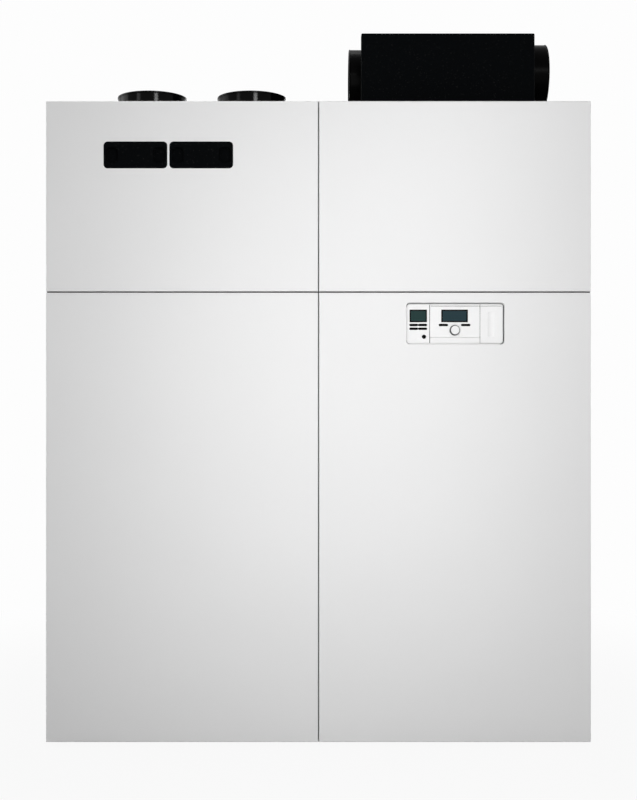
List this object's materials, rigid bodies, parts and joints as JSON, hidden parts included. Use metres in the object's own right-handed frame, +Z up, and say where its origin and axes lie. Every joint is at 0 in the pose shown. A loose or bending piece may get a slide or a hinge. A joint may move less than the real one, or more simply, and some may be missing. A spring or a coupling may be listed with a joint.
{
  "type": "heat pump",
  "caption": "Floor-standing indoor heat pump cabinet with lift-off front panels, control console, top air sockets, duct box, filters, fans, refrigerant circuit and hot water cylinder.",
  "frame": {"origin": "middle of the cabinet's footprint on the floor", "axes": "+X to the right seen from the front, the front faces -Y, +Z up"},
  "size_m": [1.59, 0.77, 2.114],
  "materials": {
    "white_powder_coat": "satin",
    "galvanised_sheet": "satin",
    "screw_steel": "satin",
    "foot_rubber": "matte",
    "black_plastic": "gloss",
    "black_foam": "matte",
    "exchanger_plastic": "satin",
    "filter_fleece": "matte",
    "grey_plastic": "satin",
    "motor_metal": "satin",
    "coil_aluminium": "satin",
    "compressor_paint": "satin",
    "brazed_steel": "satin",
    "valve_brass": "satin",
    "pipe_copper": "satin",
    "cylinder_jacket": "matte",
    "pump_iron": "satin",
    "vessel_red": "gloss",
    "white_plastic": "satin",
    "display_glass": "gloss",
    "key_plastic": "satin"
  },
  "bodies": {
    "cabinet": {"base_frame": "galvanised_sheet", "frame_posts": "galvanised_sheet", "centre_partition": "galvanised_sheet", "mid_deck": "galvanised_sheet", "side_panel_left": "white_powder_coat", "side_panel_right": "white_powder_coat", "rear_panel": "white_powder_coat", "top_cover_left": "white_powder_coat", "top_cover_right": "white_powder_coat", "casing_screws": "screw_steel", "supply_air_collar": "black_plastic", "extract_air_collar": "black_plastic", "collar_seals": "foot_rubber", "duct_box": "black_foam", "outdoor_air_spigot": "black_plastic", "exhaust_air_spigot": "black_plastic", "ventilation_housing": "black_foam", "exchanger_core": "exchanger_plastic", "fan_motors": "motor_metal", "evaporator": "coil_aluminium", "condensate_tray": "grey_plastic", "fan_scroll": "galvanised_sheet", "compressor": "compressor_paint", "compressor_mounts": "foot_rubber", "condenser": "brazed_steel", "refrigerant_valves": "valve_brass", "refrigerant_pipes": "pipe_copper", "hot_water_cylinder": "cylinder_jacket", "circulation_pump": "pump_iron", "diverter_valve": "valve_brass", "expansion_vessel": "vessel_red", "water_pipes": "pipe_copper", "electronics_box": "galvanised_sheet", "control_console": "white_plastic", "display_windows": "display_glass", "controller_housing": "white_plastic", "blank_cover": "white_plastic"},
    "foot_front_left": {"levelling_foot_1": "foot_rubber"},
    "foot_rear_left": {"levelling_foot_2": "foot_rubber"},
    "foot_front_right": {"levelling_foot_3": "foot_rubber"},
    "foot_rear_right": {"levelling_foot_4": "foot_rubber"},
    "panel_upper_left": {"front_panel_upper_left": "white_powder_coat"},
    "panel_upper_right": {"front_panel_upper_right": "white_powder_coat"},
    "panel_lower_left": {"front_panel_lower_left": "white_powder_coat"},
    "panel_lower_right": {"front_panel_lower_right": "white_powder_coat"},
    "filter_left": {"filter_cassette_left": "filter_fleece"},
    "filter_right": {"filter_cassette_right": "filter_fleece"},
    "cover_left": {"filter_cover_left": "black_foam"},
    "cover_right": {"filter_cover_right": "black_foam"},
    "supply_fan": {"supply_fan_wheel": "grey_plastic"},
    "extract_fan": {"extract_fan_wheel": "grey_plastic"},
    "outdoor_fan": {"fan_wheel": "grey_plastic"},
    "knob": {"rotary_knob": "white_plastic"},
    "soft_key_l": {"soft_key_left": "key_plastic"},
    "soft_key_r": {"soft_key_right": "key_plastic"},
    "menu_key_1": {"key_1": "key_plastic"},
    "menu_key_2": {"key_2": "key_plastic"},
    "menu_key_3": {"key_3": "key_plastic"},
    "menu_key_4": {"key_4": "key_plastic"},
    "reset": {"reset_button": "key_plastic"}
  },
  "joints": [
    {"name": "foot_front_left_screw", "type": "slide", "parent": "cabinet", "child": "foot_front_left", "axis": [0, 0, -1], "range_m": [0, 0.02]},
    {"name": "foot_rear_left_screw", "type": "slide", "parent": "cabinet", "child": "foot_rear_left", "axis": [0, 0, -1], "range_m": [0, 0.02]},
    {"name": "foot_front_right_screw", "type": "slide", "parent": "cabinet", "child": "foot_front_right", "axis": [0, 0, -1], "range_m": [0, 0.02]},
    {"name": "foot_rear_right_screw", "type": "slide", "parent": "cabinet", "child": "foot_rear_right", "axis": [0, 0, -1], "range_m": [0, 0.02]},
    {"name": "panel_upper_left_pull", "type": "slide", "parent": "cabinet", "child": "panel_upper_left", "axis": [0, -1, 0], "range_m": [0, 0.15]},
    {"name": "panel_upper_right_pull", "type": "slide", "parent": "cabinet", "child": "panel_upper_right", "axis": [0, -1, 0], "range_m": [0, 0.15]},
    {"name": "panel_lower_left_pull", "type": "slide", "parent": "cabinet", "child": "panel_lower_left", "axis": [0, -1, 0], "range_m": [0, 0.15]},
    {"name": "panel_lower_right_pull", "type": "slide", "parent": "cabinet", "child": "panel_lower_right", "axis": [0, -1, 0], "range_m": [0, 0.15]},
    {"name": "filter_left_pull", "type": "slide", "parent": "cabinet", "child": "filter_left", "axis": [0, -1, 0], "range_m": [0, 0.4]},
    {"name": "cover_left_pull", "type": "slide", "parent": "filter_left", "child": "cover_left", "axis": [0, -1, 0], "range_m": [0, 0.12]},
    {"name": "filter_right_pull", "type": "slide", "parent": "cabinet", "child": "filter_right", "axis": [0, -1, 0], "range_m": [0, 0.4]},
    {"name": "cover_right_pull", "type": "slide", "parent": "filter_right", "child": "cover_right", "axis": [0, -1, 0], "range_m": [0, 0.12]},
    {"name": "supply_fan_spin", "type": "hinge", "parent": "cabinet", "child": "supply_fan", "pos_m": [-0.652, -0.271, 1.453], "axis": [0, 1, 0], "continuous": true},
    {"name": "extract_fan_spin", "type": "hinge", "parent": "cabinet", "child": "extract_fan", "pos_m": [-0.116, -0.271, 1.453], "axis": [0, 1, 0], "continuous": true},
    {"name": "outdoor_fan_spin", "type": "hinge", "parent": "cabinet", "child": "outdoor_fan", "pos_m": [0.425, -0.146, 1.59], "axis": [0, 1, 0], "continuous": true},
    {"name": "knob_turn", "type": "hinge", "parent": "cabinet", "child": "knob", "pos_m": [0.3988, -0.373, 1.2123], "axis": [0, 1, 0], "continuous": true},
    {"name": "menu_key_1_press", "type": "slide", "parent": "cabinet", "child": "menu_key_1", "axis": [0, 1, 0], "range_m": [0, 0.0012], "stiffness_N_per_m": 800},
    {"name": "menu_key_2_press", "type": "slide", "parent": "cabinet", "child": "menu_key_2", "axis": [0, 1, 0], "range_m": [0, 0.0012], "stiffness_N_per_m": 800},
    {"name": "menu_key_3_press", "type": "slide", "parent": "cabinet", "child": "menu_key_3", "axis": [0, 1, 0], "range_m": [0, 0.0012], "stiffness_N_per_m": 800},
    {"name": "menu_key_4_press", "type": "slide", "parent": "cabinet", "child": "menu_key_4", "axis": [0, 1, 0], "range_m": [0, 0.0012], "stiffness_N_per_m": 800},
    {"name": "soft_key_l_press", "type": "slide", "parent": "cabinet", "child": "soft_key_l", "axis": [0, 1, 0], "range_m": [0, 0.0012], "stiffness_N_per_m": 800},
    {"name": "soft_key_r_press", "type": "slide", "parent": "cabinet", "child": "soft_key_r", "axis": [0, 1, 0], "range_m": [0, 0.0012], "stiffness_N_per_m": 800},
    {"name": "reset_press", "type": "slide", "parent": "cabinet", "child": "reset", "axis": [0, 1, 0], "range_m": [0, 0.0012], "stiffness_N_per_m": 800}
  ]
}
